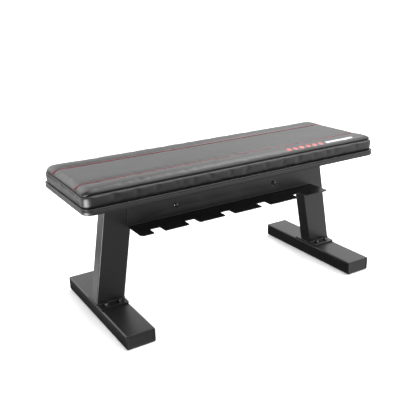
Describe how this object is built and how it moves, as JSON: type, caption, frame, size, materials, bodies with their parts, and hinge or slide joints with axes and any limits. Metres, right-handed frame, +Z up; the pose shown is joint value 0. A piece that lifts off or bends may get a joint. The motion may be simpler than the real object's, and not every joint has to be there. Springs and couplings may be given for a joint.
{
  "type": "flat weight bench",
  "caption": "Flat weight bench with a stitched pad on a welded spine, two leaning legs bolted to crosswise feet, and a slotted storage shelf along one side.",
  "frame": {"origin": "on the floor under the middle of the pad", "axes": "+X along the bench, -Y towards the storage rack's side, +Z up"},
  "size_m": [1.03, 0.45, 0.45],
  "materials": {
    "vinyl": "black grained vinyl, semi-matte",
    "foam": "open-cell upholstery foam",
    "plywood": "raw plywood",
    "lining": "black non-woven lining",
    "red_piping": "dark red vinyl piping",
    "zinc": "bright zinc plate",
    "black_zinc": "black zinc plate",
    "frame_paint": "black powder coat, semi-gloss",
    "cap_plastic": "black moulded plastic",
    "grip_rubber": "black rubber"
  },
  "bodies": {
    "root": {"pad_cover": "vinyl", "pad_edge_wrap": "vinyl", "pad_foam": "foam", "pad_board": "plywood", "pad_lining": "lining", "pad_piping": "red_piping", "pad_tee_nuts": "zinc", "foot_nuts_left": "zinc", "foot_nuts_right": "zinc", "rack_nuts": "zinc", "pad_washers": "zinc", "pad_bolts": "zinc", "foot_bolts_left": "black_zinc", "foot_bolts_right": "black_zinc", "foot_washers_left": "black_zinc", "foot_washers_right": "black_zinc", "rack_screws": "black_zinc", "rack_washers": "black_zinc", "pad_plate_left": "frame_paint", "pad_plate_right": "frame_paint", "spine_tube": "frame_paint", "leg_left": "frame_paint", "leg_right": "frame_paint", "base_plate_left": "frame_paint", "base_plate_right": "frame_paint", "foot_left": "frame_paint", "foot_right": "frame_paint", "storage_rack": "frame_paint", "end_cap_left_front": "cap_plastic", "end_cap_left_rear": "cap_plastic", "end_cap_right_front": "cap_plastic", "end_cap_right_rear": "cap_plastic", "foot_grips_left": "grip_rubber", "foot_grips_right": "grip_rubber"}
  },
  "joints": []
}
